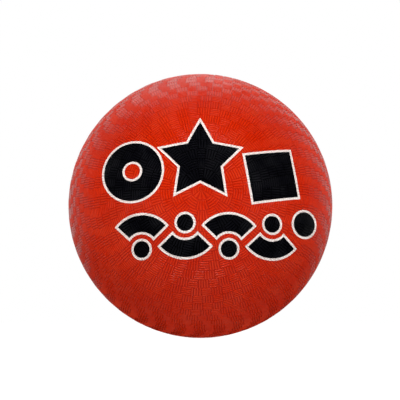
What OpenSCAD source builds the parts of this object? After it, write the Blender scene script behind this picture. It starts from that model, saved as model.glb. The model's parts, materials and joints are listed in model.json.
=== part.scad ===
// Playground ball: a moulded rubber cover in two lapped halves over a bladder, with a needle
// valve at the rear pole and a generic print of play shapes round the front pole.
// The origin is the ball's centre. The mould axis is Y: the print faces -Y and the valve +Y.

/* [Ball] */
// Outside diameter of the ball
ball_d = 216; // [190:1:254]
// Thickness of the outer cover
cover_t = 1.5; // [1.2:0.1:3]
// Thickness of the bladder
bladder_t = 0.8; // [0.6:0.1:2]
// Width of the half lap that joins the two halves of the cover
lap_w = 6; // [3:0.5:10]

/* [Valve] */
// Radius of the guide hole for the inflating needle
needle_r = 1.25; // [1:0.05:1.6]
// Depth of the guide hole below the ball's skin
needle_depth = 7; // [4:0.5:9]
// Radius of the plug's stem
plug_r = 3; // [2.4:0.1:4]
// Length of the plug from the skin to its rounded inner end
plug_len = 18; // [14:0.5:24]
// Radius of the collar that keeps the plug in its housing
collar_r = 4.2; // [3.8:0.1:5]
// Thickness of the collar
collar_t = 1.6; // [1:0.1:2.5]
// Depth of the collar's outer side below the skin
collar_depth = 10; // [9:0.5:12]
// Radius of the housing's neck and barrel
housing_r = 6; // [5.5:0.1:8]
// Radius of the housing's flange, which is bonded to the bladder
flange_r = 17; // [12:0.5:22]
// Thickness of the flange
flange_t = 1.2; // [0.8:0.1:2]
// Radius of the patch that covers the flange
patch_r = 26; // [23:0.5:32]
// Thickness of the patch
patch_t = 0.8; // [0.5:0.1:1.5]

/* [Print] */
// Thickness of the ink
ink_t = 0.15; // [0.1:0.05:0.3]
// Width of the white line round each black shape
outline_w = 1.7; // [1:0.1:3]
// Outer radius of the ring
ring_r = 22; // [16:0.5:23]
// Radius of the ring's hole
ring_hole_r = 7.5; // [5:0.5:10]
// Radius to the tips of the star
star_r = 30; // [20:0.5:31]
// Radius to the notches of the star
star_notch_r = 15.5; // [12:0.5:16]
// Side of the square
square_w = 35; // [24:1:36]
// Tilt of the square
square_tilt = 10; // [0:1:20]
// Width of the wavy band
band_w = 12; // [5:0.5:13]
// Distance along the band from one crossing of its middle line to the next
band_step = 32; // [30:1:33]
// Slope of the band's middle line where it crosses from bow to bow
band_lean = 60; // [45:1:75]
// Angle that each bow turns to either side of its top, less than the slope
bow_turn = 47; // [30:1:47]
// Radius of the disc at the end of the band
disc_r = 9; // [6:0.5:10]
// Radius of the small dots under and over the bows
dot_r = 6; // [2:0.5:6.5]

/* [Hidden] */

$fn = 180;

// radii of the layers, from the skin inwards
ball_r = ball_d / 2;
lap_r = ball_r - cover_t / 2;
cover_in_r = ball_r - cover_t;
bladder_in_r = cover_in_r - bladder_t;
flange_in_r = bladder_in_r - flange_t;
patch_in_r = flange_in_r - patch_t;

// larger than the ball, for half spaces and for cutting right through
reach = 2 * ball_d;

// the plug's rounded end stands out of the barrel by its own radius
barrel_end = ball_r - plug_len + plug_r;

// places on the print, from the front pole: [right, up]
ring_at = [-51, 15];
star_at = [-1, 22];
square_at = [52, 12];
band_at = [4, -33];
bows = 4;
disc_at = [78, -22];

red = [0.84, 0.15, 0.06];
deep_red = [0.7, 0.1, 0.04];
brown = [0.28, 0.22, 0.18];

// a full ball whose poles lie on the mould axis
module ball(r) {
    rotate([90, 0, 0]) sphere(r);
}

module shell(outer_r, inner_r) {
    difference() {
        ball(outer_r);
        ball(inner_r);
    }
}

// everything in front of the plane y
module ahead(y) {
    translate([-reach / 2, y - reach, -reach / 2]) cube(reach);
}

// everything behind the plane y
module behind(y) {
    translate([-reach / 2, y, -reach / 2]) cube(reach);
}

// a round bar along the mould axis, from y to end_y
module bar(r, y, end_y) {
    translate([0, y, 0]) rotate([-90, 0, 0]) cylinder(r = r, h = end_y - y);
}

// ---- print outlines, each drawn in a plane and grown by g on every side ----

// distance from a star's centre to the lines of its edges
function edge_distance(points, tip_r, notch_r) =
    let (half = 180 / points)
    tip_r * notch_r * sin(half) / sqrt(tip_r * tip_r + notch_r * notch_r - 2 * tip_r * notch_r * cos(half));

function star_points(points, tip_r, notch_r) =
    [for (i = [0:2 * points - 1])
        let (r = i % 2 == 0 ? tip_r : notch_r, a = 90 + 180 * i / points) r * [cos(a), sin(a)]];

// all edges touch one inscribed circle, so growing the star is scaling it
module star(points, tip_r, notch_r, g) {
    polygon((1 + g / edge_distance(points, tip_r, notch_r)) * star_points(points, tip_r, notch_r));
}

module ring(g) {
    difference() {
        circle(r = ring_r + g);
        circle(r = ring_hole_r - g);
    }
}

module tilted_square(g) {
    rotate(square_tilt) square(square_w + 2 * g, center = true);
}

// radius of each bow's middle line
bow_r = band_step / 2 / sin(band_lean);

// one bow of the band, with its top upwards and flat ends near the line v = 0
module bow(g) {
    far = 2 * bow_r;
    translate([0, -bow_r * cos(band_lean)]) intersection() {
        difference() {
            circle(r = bow_r + band_w / 2 + g);
            circle(r = bow_r - band_w / 2 - g);
        }
        translate([0, -g / sin(bow_turn)])
            polygon([[0, 0], far * [-sin(bow_turn), cos(bow_turn)], [0, 2 * far],
                     far * [sin(bow_turn), cos(bow_turn)]]);
    }
}

module band(g) {
    for (i = [0:bows - 1])
        translate([(i - (bows - 1) / 2) * band_step, 0]) rotate(180 * (i % 2)) bow(g);
}

// a dot in the hollow of each bow
module dots(g) {
    for (i = [0:bows - 1])
        translate([(i - (bows - 1) / 2) * band_step, (i % 2 == 0 ? -1 : 1) * bow_r * cos(band_lean)])
            circle(r = dot_r + g);
}

module play_shapes(g) {
    translate(ring_at) ring(g);
    translate(star_at) star(5, star_r, star_notch_r, g);
    translate(square_at) tilted_square(g);
    translate(band_at) { band(g); dots(g); }
    translate(disc_at) circle(r = disc_r + g);
}

// the outlines carried forwards along the mould axis, past the front pole
module forwards() {
    rotate([90, 0, 0]) linear_extrude(height = ball_r + 5) children();
}

// ---- sub-parts ----

module cover_front() {
    color(red) difference() {
        intersection() {
            shell(ball_r, cover_in_r);
            ahead(0);
        }
        intersection() {
            ball(lap_r);
            behind(-lap_w);
        }
        intersection() {
            shell(ball_r + 1, ball_r - ink_t);
            forwards() play_shapes(outline_w);
        }
    }
}

module cover_rear() {
    color(deep_red) difference() {
        intersection() {
            shell(ball_r, cover_in_r);
            behind(-lap_w);
        }
        difference() {
            ahead(0);
            ball(lap_r);
        }
        bar(housing_r, 0, reach);
    }
}

module bladder() {
    color(brown) difference() {
        shell(cover_in_r, bladder_in_r);
        bar(housing_r, 0, reach);
    }
}

module valve_patch() {
    color("dimgray") difference() {
        intersection() {
            shell(bladder_in_r, patch_in_r);
            bar(patch_r, 0, reach);
        }
        difference() {
            bar(flange_r, 0, reach);
            ball(flange_in_r);
        }
        bar(housing_r, 0, reach);
    }
}

// the plug before its guide hole, which is also the hole in the housing
module plug_body() {
    intersection() {
        union() {
            bar(plug_r, ball_r - plug_len + plug_r, reach);
            bar(collar_r, ball_r - collar_depth - collar_t, ball_r - collar_depth);
            translate([0, ball_r - plug_len + plug_r, 0]) sphere(plug_r);
        }
        ball(ball_r);
    }
}

module valve_housing() {
    color("dimgray") difference() {
        union() {
            intersection() {
                bar(housing_r, barrel_end, reach);
                ball(ball_r);
            }
            intersection() {
                shell(bladder_in_r, flange_in_r);
                bar(flange_r, 0, reach);
            }
        }
        plug_body();
    }
}

module valve_plug() {
    color("black") difference() {
        plug_body();
        bar(needle_r, ball_r - needle_depth, reach);
    }
}

// the skin's ink layer inside outlines
module ink() {
    difference() {
        intersection() {
            ball(ball_r);
            forwards() children();
        }
        ball(ball_r - ink_t);
    }
}

module print_black() {
    color([0.02, 0.02, 0.05]) ink() play_shapes(0);
}

module print_white() {
    color("white") difference() {
        ink() play_shapes(outline_w);
        forwards() play_shapes(0);
    }
}

cover_front();
cover_rear();
bladder();
valve_patch();
valve_housing();
valve_plug();
print_black();
print_white();
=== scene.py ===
"""The looks of a moulded rubber playground ball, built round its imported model.

Lengths are metres. The ball's centre is the origin and its mould axis is Y: the print faces -Y
and the valve +Y. A place on the skin is given by its polar angle from the pole of its own half
and by its turn round the mould axis, 0 at the top.
"""
import json
import math

import bpy
import numpy as np
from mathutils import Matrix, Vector


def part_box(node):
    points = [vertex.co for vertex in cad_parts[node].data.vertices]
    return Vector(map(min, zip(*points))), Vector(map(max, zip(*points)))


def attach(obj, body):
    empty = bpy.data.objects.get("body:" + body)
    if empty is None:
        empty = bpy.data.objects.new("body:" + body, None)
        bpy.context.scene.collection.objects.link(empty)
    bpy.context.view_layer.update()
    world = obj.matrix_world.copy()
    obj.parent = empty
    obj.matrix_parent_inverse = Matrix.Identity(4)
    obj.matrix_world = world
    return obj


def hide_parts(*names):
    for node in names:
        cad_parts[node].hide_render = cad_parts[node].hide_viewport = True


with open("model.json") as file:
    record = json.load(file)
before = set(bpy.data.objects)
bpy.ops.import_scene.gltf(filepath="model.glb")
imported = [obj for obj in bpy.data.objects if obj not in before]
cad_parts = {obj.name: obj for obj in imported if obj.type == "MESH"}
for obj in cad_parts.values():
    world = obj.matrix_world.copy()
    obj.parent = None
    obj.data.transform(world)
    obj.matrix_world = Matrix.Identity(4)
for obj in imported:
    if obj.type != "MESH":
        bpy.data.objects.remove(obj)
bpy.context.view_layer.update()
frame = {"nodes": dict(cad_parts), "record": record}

MM = 0.001
BODY = "root"
FRONT = 1
REAR = -1


def half_width(node):
    """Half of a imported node's extent along X."""
    low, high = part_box(node)
    return (high.x - low.x) / 2


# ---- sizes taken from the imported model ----

BALL_R = half_width("cover_rear")
COVER_IN_R = half_width("bladder")
COVER_T = BALL_R - COVER_IN_R
LAP_W = -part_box("cover_rear")[0].y
LAP_R = BALL_R - COVER_T / 2
NEEDLE = next(m for m in frame["record"]["mounts"] if m["name"] == "needle_hole")
NEEDLE_R = NEEDLE["dims"]["r_mm"] * MM
NEEDLE_DEPTH = NEEDLE["dims"]["length_mm"] * MM
PLUG_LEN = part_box("valve_plug")[1].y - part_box("valve_plug")[0].y
COLLAR_R = half_width("valve_plug")

# ---- sizes repeated from the part's source ----

NECK_R = 6 * MM
STEM_R = 3 * MM
COLLAR_T = 1.6 * MM
COLLAR_DEPTH = 10 * MM
OUTLINE_W = 1.7 * MM

# ---- the moulded weave ----

RINGS = 22                        # rings of blocks from a pole to the parting line
RIDGES = 4                        # ridges in a full block
INK_T = 0.06 * MM                 # thickness of the ink
TOP_R = BALL_R - INK_T            # distance of the ridge tops from the centre
RIDGE_H = 0.45 * MM
FLOOR_R = TOP_R - RIDGE_H         # distance of the groove floors from the centre
FOOT_R = FLOOR_R - 0.06 * MM      # the ridges' feet go a little under that
PLAIN_W = 0.5 * MM                # plain strip on each side of the parting line
RING_ANGLE = (math.pi / 2 - PLAIN_W / BALL_R) / RINGS
BLOCK_W = RING_ANGLE * BALL_R
LEAST_BLOCK = 0.4                 # a leftover wider than this share is a block of its own
END_GAP = 0.12 * MM               # from a block's edge to a ridge's tip
END_RAMP = 0.38 * MM              # from the tip to where the ridge has its full height
PAD_RINGS = 2                     # rings at the rear pole that the valve's pad takes up
# a ridge's cross-section from foot to foot: shares of its half width and of its height
SECTION_SPREAD = np.array([-0.76, -0.42, 0.0, 0.42, 0.76])
SECTION_LIFT = np.array([0.0, 0.82, 1.0, 0.82, 0.0])


# ---- meshes ----

SHARP_FROM = math.radians(40)


def on_ball(polar, turn, radius, half):
    """Points at a polar angle from a half's pole, a turn round Y and a distance from the centre.

    x = r sin(polar) sin(turn), y = -half r cos(polar), z = r sin(polar) cos(turn).
    """
    ring = radius * np.sin(polar)
    parts = (ring * np.sin(turn), -half * radius * np.cos(polar), ring * np.cos(turn))
    return np.stack(np.broadcast_arrays(*parts), -1)


def piece(name, points, faces, material):
    """A mesh object at the origin from arrays of points and faces, in one material.

    faces is a list of arrays, each with one kind of face. Edges sharper than SHARP_FROM stay sharp.
    """
    mesh = bpy.data.meshes.new(name)
    mesh.from_pydata(points, [], [face for some in faces for face in some.tolist()])
    mesh.shade_smooth()
    mesh.set_sharp_from_angle(angle=SHARP_FROM)
    mesh.materials.append(material)
    made = bpy.data.objects.new(name, mesh)
    bpy.context.scene.collection.objects.link(made)
    return made


def turned(profile, half, segments):
    """A closed profile of [polar angle, distance] rows carried once round the mould axis.

    Row i at turn t gives on_ball(polar_i, t, distance_i). A row at polar angle 0 is one point. A
    profile that starts and ends on the axis closes there; any other joins its last row to its
    first. Returns the points and the faces.
    """
    profile = np.asarray(profile)
    turns = np.arange(segments) * 2 * math.pi / segments
    grid = on_ball(profile[:, :1], turns[None], profile[:, 1:], half)
    index = np.arange(grid.size // 3).reshape(grid.shape[:2])
    at_pole = profile[:, 0] == 0
    index[at_pole] = index[at_pole][:, :1]
    rows = len(profile)
    ends = np.arange(rows - 1 if at_pole[0] else rows)
    following = (ends + 1) % rows
    a, b = index[ends], index[following]
    c, d = np.roll(b, -1, 1), np.roll(a, -1, 1)
    quads = np.stack([a, b, c, d], -1)
    from_pole, to_pole = at_pole[ends], at_pole[following]
    plain = quads[~from_pole & ~to_pole].reshape(-1, 4)
    tris = np.concatenate([
        quads[from_pole][..., [0, 1, 2]].reshape(-1, 3),
        quads[to_pole][..., [0, 1, 3]].reshape(-1, 3),
    ])
    if half == REAR:
        plain, tris = plain[:, ::-1], tris[:, ::-1]
    used, packed = np.unique(np.concatenate([plain.ravel(), tris.ravel()]), return_inverse=True)
    points = grid.reshape(-1, 3)[used]
    plain = packed[:plain.size].reshape(-1, 4)
    tris = packed[plain.size:].reshape(-1, 3)
    return points, [plain, tris]


def ring_of_ridges(ring, seam_turn):
    """The ridges of one ring as rows: polar angle, turn, half length, half width, runs along.

    The ring's blocks start at the seam with one width, and it closes with what is left over: a
    narrow block, or a wider last one. Ridges run along the ring in every other block and across
    it in the rest, and the order swaps from ring to ring.
    """
    middle = (ring + 0.5) * RING_ANGLE
    step = BLOCK_W / (BALL_R * math.sin(middle))
    count = int(2 * math.pi / step)
    left = 2 * math.pi - count * step
    widths = np.full(count, step)
    if left > LEAST_BLOCK * step:
        widths = np.append(widths, left)
    else:
        widths[-1] += left
    starts = seam_turn + np.cumsum(widths) - widths
    runs_along = (np.arange(len(widths)) + ring) % 2 == 0
    across = (np.arange(RIDGES) + 0.5) / RIDGES
    w, s = widths[runs_along][:, None], starts[runs_along][:, None]
    along_rows = np.stack(np.broadcast_arrays(
        (ring + across) * RING_ANGLE, s + w / 2, w / 2, RING_ANGLE / RIDGES / 2, 1.0), -1)
    rows = [along_rows.reshape(-1, 5)]
    for start, width in zip(starts[~runs_along], widths[~runs_along]):
        number = max(1, round(width / step * RIDGES))
        turn = start + (np.arange(number) + 0.5) / number * width
        rows.append(np.stack(np.broadcast_arrays(
            middle, turn, RING_ANGLE / 2, width / number / 2, 0.0), -1))
    return np.concatenate(rows)


def weave(first_ring, last_ring, seam_turn):
    """All ridges from one ring to another, as the rows that ring_of_ridges gives."""
    return np.concatenate([ring_of_ridges(ring, seam_turn) for ring in range(first_ring, last_ring)])


def bars(rows, half, along, grow):
    """The ridges that run one way as closed bars: a section carried along, drawn to a tip each way.

    A point of a bar lies s along the ridge and w across it, as angles from the ridge's middle, at
    FLOOR_R + RIDGE_H times the section's lift. Ridges along the ring bend, so they have a station
    in the middle too. grow makes the bar larger on every side, for the ink that lies over it.
    """
    polar, turn, half_length, half_span = (column[:, None] for column in rows.T[:4])
    circle_r = BALL_R * np.sin(polar)
    run_r, cross_r = (circle_r, BALL_R) if along else (BALL_R, circle_r)
    tip = half_length - (END_GAP - grow) / run_r
    full = tip - END_RAMP / run_r
    spread = half_span * SECTION_SPREAD + grow / cross_r * np.sign(SECTION_SPREAD)
    radius = np.where(SECTION_LIFT > 0, FLOOR_R + RIDGE_H * SECTION_LIFT + grow, FOOT_R)

    def place(s, w, r):
        """Points s along each ridge and w across it, at the distance r."""
        down, round_ = (w, s) if along else (s, w)
        return on_ball(polar + down, turn + round_, r, half)

    steps = (-1, 0, 1) if along else (-1, 1)
    stations = [place(at * full, spread, radius) for at in steps]
    tips = [place(at * tip, 0 * tip, FOOT_R) for at in (-1, 1)]
    points = np.concatenate(stations + tips, 1)
    # k points in a section, m sections, then the two tips
    k, m = len(SECTION_LIFT), len(steps)
    first, last, end = k * m, k * m + 1, k * (m - 1)
    i = np.arange(k - 1)
    spans = k * np.arange(m - 1)
    quads = np.concatenate(
        [np.stack([j + i, j + i + 1, j + k + i + 1, j + k + i], -1) for j in spans]
        + [np.stack([spans, spans + k, spans + 2 * k - 1, spans + k - 1], -1)]
    )
    tris = np.concatenate([
        np.stack([i * 0 + first, i + 1, i], -1), [[first, 0, k - 1]],
        np.stack([i * 0 + last, end + i, end + i + 1], -1), [[last, end + k - 1, end]],
    ])
    if along == (half == FRONT):
        quads, tris = quads[:, ::-1], tris[:, ::-1]
    start = (np.arange(len(rows)) * points.shape[1])[:, None, None]
    faces = [(kind[None] + start).reshape(-1, kind.shape[1]) for kind in (quads, tris)]
    return points.reshape(-1, 3), faces


def ridge_bars(rows, half, grow=0.0):
    """All ridges in the rows, both those along the rings and those across them."""
    along = rows[:, 4] > 0.5
    return joined([bars(rows[along], half, True, grow), bars(rows[~along], half, False, grow)])


def joined(parts):
    """Several (points, faces) as one, with the faces' numbers moved on."""
    points, faces, start = [], [], 0
    for some, kinds in parts:
        points.append(some)
        faces += [kind + start for kind in kinds]
        start += len(some)
    return np.concatenate(points), faces


def arc(start, end, radius, count):
    """Profile rows at equal steps of polar angle, at one distance from the centre."""
    return np.stack(np.broadcast_arrays(np.linspace(start, end, count), radius), -1)


# ---- the cover ----

ROWS = 46                         # steps of a cover half's profile from pole to parting line
INNER_ROWS = 20                   # the same on its unseen inside
SEGMENTS = 180                    # steps round the mould axis
FLASH_H = 0.30 * MM               # height of the thin line of flash where the mould parted
FLASH_W = 0.22 * MM
SEAM_TURN = math.radians(6)       # where the rings of the weave close
# the valve pad's raised edges, in mm: how far out from the neck or the pad's rim, and how far
# below the ridge tops
NECK_EDGE = [(0, 0.35), (0.10, 0.14), (0.35, 0.02), (0.9, 0), (1.3, 0.05), (1.6, 0.20)]
RIM_EDGE = [(-1.9, 0.20), (-1.5, 0.05), (-1.1, 0), (-0.6, 0.02), (-0.25, 0.14)]
RIM_GAP = 0.2 * MM                # from the pad's rim to the first ring of blocks


def parting_rows(lap_end):
    """The profile from the plain strip over the flash, in to the lap and down to the inside."""
    edge = math.pi / 2
    return [
        [edge - PLAIN_W / BALL_R, FLOOR_R],
        [edge - FLASH_W / BALL_R, FLOOR_R + 0.2 * FLASH_H],
        [edge - 0.3 * FLASH_W / BALL_R, FLOOR_R + 0.9 * FLASH_H],
        [edge, FLOOR_R + FLASH_H],
        [edge, LAP_R],
        [lap_end, LAP_R],
        [lap_end, COVER_IN_R],
    ]


def cover_front(material):
    """The front half: a shell whose outside carries the ridges, with the outer half of the lap."""
    lap_end = math.pi / 2 - LAP_W / BALL_R
    profile = np.concatenate([
        arc(0, math.pi / 2 - 2 * PLAIN_W / BALL_R, FLOOR_R, ROWS),
        parting_rows(lap_end),
        arc(lap_end, 0, COVER_IN_R, INNER_ROWS)[1:],
    ])
    shell = turned(profile, FRONT, SEGMENTS)
    ridges = ridge_bars(weave(0, RINGS, SEAM_TURN), FRONT)
    return piece("cover_front_skin", *joined([shell, ridges]), material)


def pad_rows():
    """The valve pad's profile: a raised edge at the neck, a plain field, a raised rim, a step down.

    A place across from the axis at a distance from the centre has polar angle asin(across / distance).
    """
    rim = PAD_RINGS * BLOCK_W - RIM_GAP
    rows = [[NECK_R, COVER_IN_R]]
    for start, edge in ((NECK_R, NECK_EDGE), (rim, RIM_EDGE)):
        rows += [[start + out * MM, TOP_R - drop * MM] for out, drop in edge]
    rows.append([rim, FLOOR_R])
    return [[math.asin(across / distance), distance] for across, distance in rows]


def cover_rear(material):
    """The rear half, with the valve's pad at its pole and the inner half of the lap."""
    lap_end = math.pi / 2 + LAP_W / BALL_R
    pad = pad_rows()
    profile = np.concatenate([
        pad,
        arc(pad[-1][0], math.pi / 2 - 2 * PLAIN_W / BALL_R, FLOOR_R, ROWS)[1:],
        parting_rows(lap_end),
        arc(lap_end, pad[0][0], COVER_IN_R, INNER_ROWS)[1:-1],
    ])
    shell = turned(profile, REAR, SEGMENTS)
    ridges = ridge_bars(weave(PAD_RINGS, RINGS, -SEAM_TURN), REAR)
    return piece("cover_rear_skin", *joined([shell, ridges]), material)


# ---- the print ----

def circle(radius, grow=0.0, count=96):
    """x = (radius + grow) sin t, z = (radius + grow) cos t."""
    t = np.arange(count) * 2 * math.pi / count
    return (radius + grow) * np.stack([np.sin(t), np.cos(t)], -1)


def star(tip_r, notch_r, grow=0.0, points=5):
    """Tips and notches by turns. All edges touch one circle, so growing the star scales it."""
    half = math.pi / points
    t = np.arange(2 * points) * half
    r = np.where(np.arange(2 * points) % 2 == 0, tip_r, notch_r)
    slant = math.sqrt(tip_r**2 + notch_r**2 - 2 * tip_r * notch_r * math.cos(half))
    edge_distance = tip_r * notch_r * math.sin(half) / slant
    return (1 + grow / edge_distance) * r[:, None] * np.stack([np.sin(t), np.cos(t)], -1)


def square(side, tilt, grow=0.0):
    """The corners of a square, turned anticlockwise by tilt."""
    t = -tilt + (np.arange(4) + 0.5) * math.pi / 2
    return (side / 2 + grow) * math.sqrt(2) * np.stack([np.sin(t), np.cos(t)], -1)


def bow(step, lean, reach, width, down, grow=0.0, count=20):
    """A bent bar: two arcs round one centre with flat ends, turned over when down.

    The middle line has radius step / (2 sin lean). Each end lies on a line through the centre at
    the angle reach, moved outwards by grow.
    """
    r = step / 2 / math.sin(lean)
    loops = []
    for edge_r in (r + width / 2 + grow, r - width / 2 - grow):
        far = reach + math.asin(grow / edge_r)
        t = np.linspace(-far, far, count)
        loops.append(edge_r * np.stack([np.sin(t), np.cos(t)], -1))
    outline = np.concatenate([loops[0], loops[1][::-1]]) - [0, r * math.cos(lean)]
    return -outline if down else outline


RING_AT = np.array([-51, 15]) * MM
RING_R = 22 * MM
RING_HOLE_R = 7.5 * MM
STAR_AT = np.array([-1, 22]) * MM
STAR_R = 30 * MM
STAR_NOTCH_R = 15.5 * MM
SQUARE_AT = np.array([52, 12]) * MM
SQUARE_W = 35 * MM
SQUARE_TILT = math.radians(10)
BAND_AT = np.array([4, -33]) * MM
BAND_W = 12 * MM
BAND_STEP = 32 * MM
BAND_LEAN = math.radians(60)
BOW_TURN = math.radians(47)
BOWS = 4
DOT_R = 6 * MM
DISC_AT = np.array([78, -22]) * MM
DISC_R = 9 * MM
DOT_DROP = BAND_STEP / 2 / math.tan(BAND_LEAN)
PRINT_EDGE = math.radians(70)     # polar angle that the print stays within
CAP_ROWS = 72                     # steps of the ink's own groove floor out to there
WELD = 1e-7                       # points of the ink closer than this are one


def outlines(grow):
    """Every play shape's outline as an array of [x, z], grown by grow on each side.

    The ring's hole comes last, apart, because it shrinks as the others grow.
    """
    shapes = [
        RING_AT + circle(RING_R, grow),
        STAR_AT + star(STAR_R, STAR_NOTCH_R, grow),
        SQUARE_AT + square(SQUARE_W, SQUARE_TILT, grow),
        DISC_AT + circle(DISC_R, grow),
    ]
    for i in range(BOWS):
        at = BAND_AT + [(i - (BOWS - 1) / 2) * BAND_STEP, 0]
        down = i % 2 == 1
        shapes.append(at + bow(BAND_STEP, BAND_LEAN, BOW_TURN, BAND_W, down, grow))
        shapes.append(at + [0, DOT_DROP if down else -DOT_DROP] + circle(DOT_R, grow, 48))
    return shapes, RING_AT + circle(RING_HOLE_R, -grow)


def strips(outer, inner):
    """The convex cells between two loops with as many points as each other, as [cells, 4, 2]."""
    return np.stack([outer, np.roll(outer, -1, 0), np.roll(inner, -1, 0), inner], 1)


def black_cells():
    """The black shapes as convex cells: whole, as a star's kites, or as strips between two arcs."""
    shapes, hole = outlines(0)
    ring, star_shape, square_shape, disc = shapes[:4]
    cells = [*strips(ring, hole), square_shape, disc]
    tips = np.arange(0, len(star_shape), 2)
    cells += [np.stack([STAR_AT, star_shape[i - 1], star_shape[i], star_shape[i + 1]]) for i in tips]
    for bow_shape, dot in zip(shapes[4::2], shapes[5::2]):
        half = len(bow_shape) // 2
        outer, inner = bow_shape[:half], bow_shape[half:][::-1]
        cells += [*strips(outer, inner)[:-1], dot]
    return cells


def white_cells():
    """The white lines as strips between each shape's outline and the same one grown."""
    shapes, hole = outlines(0)
    grown, small_hole = outlines(OUTLINE_W)
    pairs = [*zip(grown, shapes), (hole, small_hole)]
    return [cell for wide, narrow in pairs for cell in strips(wide, narrow)]


def clipped(tris, start, end):
    """Triangles [n, 3, 3] cut off along the line from start to end in x and z, keeping its right.

    A corner's offset from the line is the cross product of the way to it and the line. A cut lies
    on an edge at the share offset / (offset - the other end's offset). A triangle with one corner
    kept gives one triangle, and one with two corners kept gives two.
    """
    along = end - start
    off = (tris[..., 0] - start[0]) * along[1] - (tris[..., 2] - start[1]) * along[0]
    kept = off > 0
    number = kept.sum(1)
    out = [tris[number == 3]]
    for amount in (1, 2):
        some = number == amount
        t, o, k = tris[some], off[some], kept[some]
        lone = (k if amount == 1 else ~k).argmax(1)
        order = (lone[:, None] + np.arange(3)) % 3
        t = np.take_along_axis(t, order[..., None], 1)
        o = np.take_along_axis(o, order, 1)
        share = o[:, :1] / (o[:, :1] - o[:, 1:])
        cuts = t[:, :1] + share[..., None] * (t[:, 1:] - t[:, :1])
        if amount == 1:
            out.append(np.stack([t[:, 0], cuts[:, 0], cuts[:, 1]], 1))
        else:
            out.append(np.stack([cuts[:, 0], t[:, 1], t[:, 2]], 1))
            out.append(np.stack([cuts[:, 0], t[:, 2], cuts[:, 1]], 1))
    return np.concatenate(out)


def inked_skin():
    """The front's skin over the printed area, thicker by the ink, as triangles facing outwards."""
    ridges = ridge_bars(weave(0, round(PRINT_EDGE / RING_ANGLE), SEAM_TURN), FRONT, INK_T)
    cap = turned(arc(0, PRINT_EDGE, FLOOR_R + INK_T, CAP_ROWS), FRONT, SEGMENTS)
    points, faces = joined([ridges, cap])
    every = np.concatenate(
        [points[face[:, [0, i + 1, i + 2]]] for face in faces for i in range(face.shape[1] - 2)])
    # a bar's underside has all its corners at the feet
    return every[np.linalg.norm(every, axis=2).max(1) > FLOOR_R]


def film(name, skin, cells, material):
    """The ink inside the cells: the inked skin cut to each convex cell in turn, then welded."""
    low, high = skin[..., [0, 2]].min(1), skin[..., [0, 2]].max(1)
    parts = []
    for cell in cells:
        near = ((high > cell.min(0)) & (low < cell.max(0))).all(1)
        tris = skin[near]
        before = np.roll(cell, 1, 0)
        turning = (before[:, 0] * cell[:, 1] - before[:, 1] * cell[:, 0]).sum()
        loop = cell if turning < 0 else cell[::-1]
        for start, end in zip(loop, np.roll(loop, -1, 0)):
            tris = clipped(tris, start, end)
        parts.append(tris)
    tris = np.concatenate(parts)
    _, first, index = np.unique(
        np.round(tris.reshape(-1, 3) / WELD), axis=0, return_index=True, return_inverse=True)
    faces = index.reshape(-1, 3)
    a, b, c = faces.T
    faces = faces[(a != b) & (b != c) & (c != a)]
    return piece(name, tris.reshape(-1, 3)[first], [faces], material)


# ---- the valve ----

def bar_rows(rows):
    """Profile rows from [distance from the axis, depth below the ball's rear pole]."""
    return [[math.atan2(across, BALL_R - depth), math.hypot(across, BALL_R - depth)]
            for across, depth in rows]


def rounded_end(radius, depth, count=8):
    """The quarter circle of a round end, from its widest place to its tip on the axis."""
    t = np.linspace(0, math.pi / 2, count)
    rows = np.stack([radius * np.cos(t), depth + radius * np.sin(t)], -1)
    rows[-1, 0] = 0
    return rows.tolist()


VALVE_SEGMENTS = 64
BEVEL = 0.15 * MM
# the dished mouth, in mm: how far out from the guide hole's wall, and how deep
MOUTH = [(0, 0.9), (0.1, 0.55), (0.35, 0.28), (0.7, 0.17)]
# the mouth's lip: how far in from the stem's side, and how deep
MOUTH_LIP = [(2 * BEVEL, 0.14 * MM), (0.4 * BEVEL, 0.20 * MM), (0, 0.4 * MM)]


def valve_plug(material):
    """The sealing plug: a dished mouth, the guide hole, a stem, the collar and a round end."""
    rows = [
        [0, NEEDLE_DEPTH + 0.6 * NEEDLE_R],
        [0.7 * NEEDLE_R, NEEDLE_DEPTH + 0.3 * NEEDLE_R],
        [NEEDLE_R, NEEDLE_DEPTH],
    ]
    rows += [[NEEDLE_R + out * MM, depth * MM] for out, depth in MOUTH]
    rows += [[STEM_R - back, depth] for back, depth in MOUTH_LIP]
    rows += [
        [STEM_R, COLLAR_DEPTH - BEVEL],
        [STEM_R + BEVEL, COLLAR_DEPTH],
        [COLLAR_R - BEVEL, COLLAR_DEPTH],
        [COLLAR_R, COLLAR_DEPTH + BEVEL],
        [COLLAR_R, COLLAR_DEPTH + COLLAR_T - BEVEL],
        [COLLAR_R - BEVEL, COLLAR_DEPTH + COLLAR_T],
        [STEM_R + BEVEL, COLLAR_DEPTH + COLLAR_T],
        [STEM_R, COLLAR_DEPTH + COLLAR_T + BEVEL],
    ]
    rows += rounded_end(STEM_R, PLUG_LEN - STEM_R)
    profile = np.array(bar_rows(rows))
    return piece("valve_plug_body", *turned(profile, REAR, VALVE_SEGMENTS), material)


# ---- materials ----

def shader(name):
    """A new material, its Principled BSDF and its node tree."""
    material = bpy.data.materials.new(name)
    material.use_nodes = True
    return material, material.node_tree.nodes["Principled BSDF"], material.node_tree


def new_group(name, inputs, outputs):
    """An empty shader node group with named sockets, each given as its name and kind."""
    tree = bpy.data.node_groups.new(name, "ShaderNodeTree")
    for label, kind in inputs:
        tree.interface.new_socket(label, in_out="INPUT", socket_type=kind)
    for label, kind in outputs:
        tree.interface.new_socket(label, in_out="OUTPUT", socket_type=kind)
    return tree, tree.nodes.new("NodeGroupInput"), tree.nodes.new("NodeGroupOutput")


def feed(tree, value, socket):
    """Set an input to a number, or link another node's output into it."""
    if isinstance(value, (int, float)):
        socket.default_value = value
    else:
        tree.links.new(value, socket)


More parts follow.
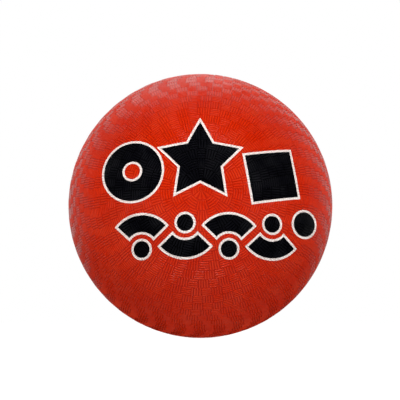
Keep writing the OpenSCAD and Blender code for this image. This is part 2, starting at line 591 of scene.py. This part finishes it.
def math_node(tree, operation, *values, clamp=False):
    """A Math node whose inputs are sockets or numbers. Returns its output."""
    node = tree.nodes.new("ShaderNodeMath")
    node.operation = operation
    node.use_clamp = clamp
    for value, socket in zip(values, node.inputs):
        feed(tree, value, socket)
    return node.outputs[0]


def mix_colour(tree, share, first, second):
    """A Mix node for colours, from sockets. Returns its output."""
    node = tree.nodes.new("ShaderNodeMix")
    node.data_type = "RGBA"
    tree.links.new(share, node.inputs["Factor"])
    tree.links.new(first, node.inputs["A"])
    tree.links.new(second, node.inputs["B"])
    return node.outputs["Result"]


def noise(tree, place, scale, detail):
    """A Noise Texture's value at a place, with a scale that is a number or a socket."""
    node = tree.nodes.new("ShaderNodeTexNoise")
    node.inputs["Detail"].default_value = detail
    tree.links.new(place, node.inputs["Vector"])
    feed(tree, scale, node.inputs["Scale"])
    return node.outputs["Fac"]


def stretched(tree, value, low, high):
    """A value's share of the way from low to high, held between 0 and 1."""
    node = tree.nodes.new("ShaderNodeMapRange")
    tree.links.new(value, node.inputs["Value"])
    node.inputs["From Min"].default_value = low
    node.inputs["From Max"].default_value = high
    return node.outputs["Result"]


# each pattern goes from none to all between two values of its noise
CLOUD_SPAN = (0.35, 0.65)
PATCH_SPAN = (0.45, 0.75)
SPECK_SPAN = (0.55, 0.8)
PATCH_SCALE = 55.0                # of the patches of bloom and painted highlight on the ridge tops
CLOUD_SHARE = 0.25                # how far the clouds go to the deep colour
SPECK_SHARE = 0.04                # how far the specks go to the pale colour
GRAIN_DEPTH = 0.03 * MM
COLOUR = "NodeSocketColor"
VALUE = "NodeSocketFloat"


def rubber_group():
    """Moulded rubber: cloudy colour, painted shade in the grooves, a pale bloom on what stands proud
    that is also a painted highlight, fine grain.

    Proud is 0 at the grooves' floor and 1 at the ridge tops. Groove Shade is how far the grooves go
    to the deep colour, as painted shade, and Bloom And Highlight how far the tops go to the pale
    one, in patches, as bloom and painted highlight. Roughness lies between Smooth and Rough, by half
    the patches and half the grain.
    """
    tree, group_in, group_out = new_group(
        "moulded rubber",
        [("Colour", COLOUR), ("Deep", COLOUR), ("Pale", COLOUR),
         ("Cloud Scale", VALUE), ("Grain Scale", VALUE), ("Bloom And Highlight", VALUE),
         ("Groove Shade", VALUE), ("Smooth", VALUE), ("Rough", VALUE)],
        [("Colour", COLOUR), ("Roughness", VALUE), ("Height", VALUE)],
    )
    given = group_in.outputs
    place = tree.nodes.new("ShaderNodeTexCoord").outputs["Object"]
    length = tree.nodes.new("ShaderNodeVectorMath")
    length.operation = "LENGTH"
    tree.links.new(place, length.inputs[0])
    proud = stretched(tree, length.outputs["Value"], FLOOR_R, TOP_R)
    cloud = stretched(tree, noise(tree, place, given["Cloud Scale"], detail=4), *CLOUD_SPAN)
    patch = stretched(tree, noise(tree, place, PATCH_SCALE, detail=5), *PATCH_SPAN)
    grain = noise(tree, place, given["Grain Scale"], detail=3)
    speck = stretched(tree, grain, *SPECK_SPAN)
    clouded = math_node(tree, "MULTIPLY", cloud, CLOUD_SHARE)
    colour = mix_colour(tree, clouded, given["Colour"], given["Deep"])
    # painted shade: the grooves go towards the deep colour, most at their floor
    sunk = math_node(tree, "SUBTRACT", 1.0, proud)
    groove_shade = math_node(tree, "MULTIPLY", sunk, given["Groove Shade"])
    colour = mix_colour(tree, groove_shade, colour, given["Deep"])
    # a pale bloom in patches on what stands proud, which is also a painted highlight on the ridge tops
    worn_and_highlight = math_node(tree, "MULTIPLY", math_node(tree, "MULTIPLY", patch, proud), given["Bloom And Highlight"])
    specked = math_node(tree, "MULTIPLY", speck, SPECK_SHARE)
    bloom_and_highlight = math_node(tree, "ADD", worn_and_highlight, specked, clamp=True)
    colour = mix_colour(tree, bloom_and_highlight, colour, given["Pale"])
    span = math_node(tree, "SUBTRACT", given["Rough"], given["Smooth"])
    half_patch = math_node(tree, "MULTIPLY", patch, 0.5)
    half_grain = math_node(tree, "MULTIPLY", grain, 0.5)
    share = math_node(tree, "ADD", half_patch, half_grain)
    rough = math_node(tree, "ADD", given["Smooth"], math_node(tree, "MULTIPLY", span, share))
    tree.links.new(colour, group_out.inputs["Colour"])
    tree.links.new(rough, group_out.inputs["Roughness"])
    tree.links.new(grain, group_out.inputs["Height"])
    return tree


RUBBER = rubber_group()


def rubber(name, colour, deep, pale, smooth, rough, cloud=20.0, grain=2500.0, bloom_and_highlight=0.2,
           groove_shade=0.0, specular=0.5):
    """A material made with the moulded rubber group, with its own colours and finish."""
    material, principled, tree = shader(name)
    node = tree.nodes.new("ShaderNodeGroup")
    node.node_tree = RUBBER
    for label, value in (("Colour", (*colour, 1)), ("Deep", (*deep, 1)), ("Pale", (*pale, 1)),
                         ("Cloud Scale", cloud), ("Grain Scale", grain), ("Bloom And Highlight", bloom_and_highlight),
                         ("Groove Shade", groove_shade), ("Smooth", smooth), ("Rough", rough)):
        node.inputs[label].default_value = value
    relief = tree.nodes.new("ShaderNodeBump")
    relief.inputs["Distance"].default_value = GRAIN_DEPTH
    tree.links.new(node.outputs["Height"], relief.inputs["Height"])
    tree.links.new(node.outputs["Colour"], principled.inputs["Base Color"])
    tree.links.new(node.outputs["Roughness"], principled.inputs["Roughness"])
    tree.links.new(relief.outputs["Normal"], principled.inputs["Normal"])
    principled.inputs["Specular IOR Level"].default_value = specular
    return material


# each finish: its colour, its deep colour, which the grooves also take as painted shade, and its pale
# colour, which the tops also take as bloom and painted highlight, then its own values for the group's
# inputs
red = rubber("red cover rubber", (0.72, 0.027, 0.001), (0.42, 0.006, 0.0005), (0.86, 0.11, 0.03),
             bloom_and_highlight=0.22, groove_shade=0.62, smooth=0.24, rough=0.38, specular=0.30)
# the ink's grooves go all the way to its deep colour as painted shade, its tops lighter by painted
# highlight
black = rubber("black ink", (0.0042, 0.0042, 0.0065), (0.0002, 0.0002, 0.0004), (0.04, 0.04, 0.045),
               bloom_and_highlight=0.22, groove_shade=1.0, smooth=0.24, rough=0.40, specular=0.12)
white = rubber("white ink", (0.94, 0.89, 0.86), (0.76, 0.56, 0.50), (0.93, 0.91, 0.89),
               groove_shade=0.6, smooth=0.45, rough=0.6, specular=0.2)
butyl = rubber("bladder butyl", (0.045, 0.036, 0.030), (0.025, 0.020, 0.017), (0.12, 0.11, 0.10),
               cloud=35, smooth=0.5, rough=0.7)
sheet_rubber = rubber("patch sheet rubber", (0.060, 0.050, 0.045), (0.035, 0.030, 0.027),
                      (0.16, 0.15, 0.14), cloud=60, grain=1800, smooth=0.55, rough=0.8)
housing_rubber = rubber("valve housing rubber", (0.030, 0.030, 0.030), (0.016, 0.016, 0.016),
                        (0.10, 0.10, 0.10), cloud=90, smooth=0.45, rough=0.6)
plug_rubber = rubber("valve plug rubber", (0.016, 0.016, 0.017), (0.009, 0.009, 0.010),
                     (0.07, 0.07, 0.07), cloud=140, grain=4000, smooth=0.38, rough=0.5)


def finish_piece(made, slot, *nodes):
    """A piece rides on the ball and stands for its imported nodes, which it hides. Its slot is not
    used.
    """
    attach(made, BODY)
    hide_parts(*nodes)


finish_piece(cover_front(red), "cover_rubber", "cover_front")
finish_piece(cover_rear(red), "cover_rubber", "cover_rear")
finish_piece(valve_plug(plug_rubber), "plug_rubber", "valve_plug")
ink_skin = inked_skin()
finish_piece(film("print_black_film", ink_skin, black_cells(), black), "black_ink", "print_black")
finish_piece(film("print_white_film", ink_skin, white_cells(), white), "white_ink", "print_white")
inside = {"bladder": butyl, "valve_patch": sheet_rubber, "valve_housing": housing_rubber}
for node, material in inside.items():
    for slot in frame["nodes"][node].material_slots:
        slot.material = material


# ---- floor, light and camera ----

STAGE_FLOOR_W = 60.0
STAGE_FLOOR_GREY = (0.15, 0.15, 0.15, 1)
STAGE_FLOOR_GLOW = 0.975          # strength the camera sees
STAGE_FLOOR_FILL = 0.72           # strength for diffuse rays
STAGE_FLOOR_SHINE = 0.5           # strength for all other rays, behind the ball only
SHINE_FROM = 0.5 * BALL_R         # how far back the shine starts
SHINE_FULL = 4 * BALL_R           # how far back it is full
SKY_TOWARD = (0.0, 0.95, 0.31)    # the surround is brightest this way
SKY_SPAN = (0.2, 0.85)            # cosines from that way between which it goes from dark to full
SKY_LEAST = 0.01


def light_path_mix(tree, seen, unseen, output):
    """One shader for what the camera sees directly, and another for all other rays."""
    path = tree.nodes.new("ShaderNodeLightPath")
    mix = tree.nodes.new("ShaderNodeMixShader")
    tree.links.new(path.outputs["Is Camera Ray"], mix.inputs[0])
    tree.links.new(unseen, mix.inputs[1])
    tree.links.new(seen, mix.inputs[2])
    tree.links.new(mix.outputs[0], output)


def pale_floor():
    """A wide pale floor under the ball. It throws back less light than it shows.

    Its strength for other rays is the larger of the fill, for diffuse rays, and the shine.
    """
    corners = np.array([[-1, -1], [1, -1], [1, 1], [-1, 1]]) * STAGE_FLOOR_W / 2
    mesh = bpy.data.meshes.new("floor")
    mesh.from_pydata(np.column_stack([corners, np.full(4, -BALL_R)]), [], [[0, 1, 2, 3]])
    made = bpy.data.objects.new("floor", mesh)
    bpy.context.scene.collection.objects.link(made)
    material, principled, tree = shader("pale floor")
    principled.inputs["Base Color"].default_value = STAGE_FLOOR_GREY
    principled.inputs["Roughness"].default_value = 0.9
    principled.inputs["Specular IOR Level"].default_value = 0.0
    principled.inputs["Emission Color"].default_value = (1, 1, 1, 1)
    principled.inputs["Emission Strength"].default_value = STAGE_FLOOR_GLOW
    glow = tree.nodes.new("ShaderNodeEmission")
    path = tree.nodes.new("ShaderNodeLightPath")
    place = tree.nodes.new("ShaderNodeSeparateXYZ")
    tree.links.new(tree.nodes.new("ShaderNodeTexCoord").outputs["Object"], place.inputs[0])
    behind = stretched(tree, place.outputs["Y"], SHINE_FROM, SHINE_FULL)
    shine = math_node(tree, "MULTIPLY", behind, STAGE_FLOOR_SHINE)
    fill = math_node(tree, "MULTIPLY", path.outputs["Is Diffuse Ray"], STAGE_FLOOR_FILL)
    strength = math_node(tree, "MAXIMUM", fill, shine)
    tree.links.new(strength, glow.inputs["Strength"])
    surface = tree.nodes["Material Output"].inputs["Surface"]
    light_path_mix(tree, principled.outputs[0], glow.outputs[0], surface)
    mesh.materials.append(material)


def studio():
    """A white surround: plain white to see, but its light comes from above and behind the ball.

    Its strength is the stretched cosine between a ray and SKY_TOWARD, plus SKY_LEAST.
    """
    world = bpy.data.worlds.new("studio")
    bpy.context.scene.world = world
    world.use_nodes = True
    tree = world.node_tree
    seen = tree.nodes["Background"]
    seen.inputs["Color"].default_value = (1, 1, 1, 1)
    seen.inputs["Strength"].default_value = 1.0
    unseen = tree.nodes.new("ShaderNodeBackground")
    ray = tree.nodes.new("ShaderNodeTexCoord").outputs["Generated"]
    toward = tree.nodes.new("ShaderNodeVectorMath")
    toward.operation = "DOT_PRODUCT"
    tree.links.new(ray, toward.inputs[0])
    toward.inputs[1].default_value = SKY_TOWARD
    strength = stretched(tree, toward.outputs["Value"], *SKY_SPAN)
    strength = math_node(tree, "ADD", strength, SKY_LEAST)
    tree.links.new(strength, unseen.inputs["Strength"])
    surface = tree.nodes["World Output"].inputs["Surface"]
    light_path_mix(tree, seen.outputs[0], unseen.outputs[0], surface)


def softbox(name, place, size, power, reflects=False):
    """A square soft light at a place, facing the ball, which mirrors it only if it reflects."""
    data = bpy.data.lights.new(name, "AREA")
    data.size = size
    data.energy = power
    light = bpy.data.objects.new(name, data)
    bpy.context.scene.collection.objects.link(light)
    light.location = place
    light.rotation_euler = (-Vector(place)).to_track_quat("-Z", "Y").to_euler()
    light.visible_glossy = reflects


CAMERA_AWAY = 8 * BALL_R          # from the ball's centre
CAMERA_UP = math.radians(-6.4)
CAMERA_ROUND = math.radians(-0.5)
CAMERA_SIGHT = 100.0              # how far it sees
BALL_SHARE = 0.6605               # the ball's width as a share of the view's
SHIFT_X = -0.001                  # the view's shift off the ball, in shares of its width
SHIFT_Y = 0.0149
SENSOR = 36.0


def camera():
    """A camera a little below the ball's middle, facing it.

    The ball's edge stands off the camera's axis by the angle asin(ball radius / distance), and
    the lens is the sensor's width times BALL_SHARE over twice that angle's tangent.
    """
    data = bpy.data.cameras.new("camera")
    made = bpy.data.objects.new("camera", data)
    bpy.context.scene.collection.objects.link(made)
    flat = math.cos(CAMERA_UP)
    made.location = CAMERA_AWAY * Vector(
        (math.sin(CAMERA_ROUND) * flat, -math.cos(CAMERA_ROUND) * flat, math.sin(CAMERA_UP)))
    made.rotation_euler = (-made.location).to_track_quat("-Z", "Y").to_euler()
    edge = math.tan(math.asin(BALL_R / CAMERA_AWAY))
    data.sensor_width = SENSOR
    data.lens = SENSOR * BALL_SHARE / (2 * edge)
    data.shift_x = SHIFT_X
    data.shift_y = SHIFT_Y
    data.clip_end = CAMERA_SIGHT
    bpy.context.scene.camera = made


pale_floor()
studio()
softbox("key light", (0.1, -1.6, 1.45), 1.0, 34)
softbox("left light", (-1.7, -1.2, -0.1), 1.0, 22)
softbox("right light", (1.8, -1.2, 0.0), 1.0, 18)
softbox("back light", (0.2, 1.9, 1.1), 1.2, 18)
softbox("glint light", (-0.2, 0.8, 1.6), 1.2, 4, reflects=True)
camera()
bpy.context.scene.view_settings.view_transform = "Standard"
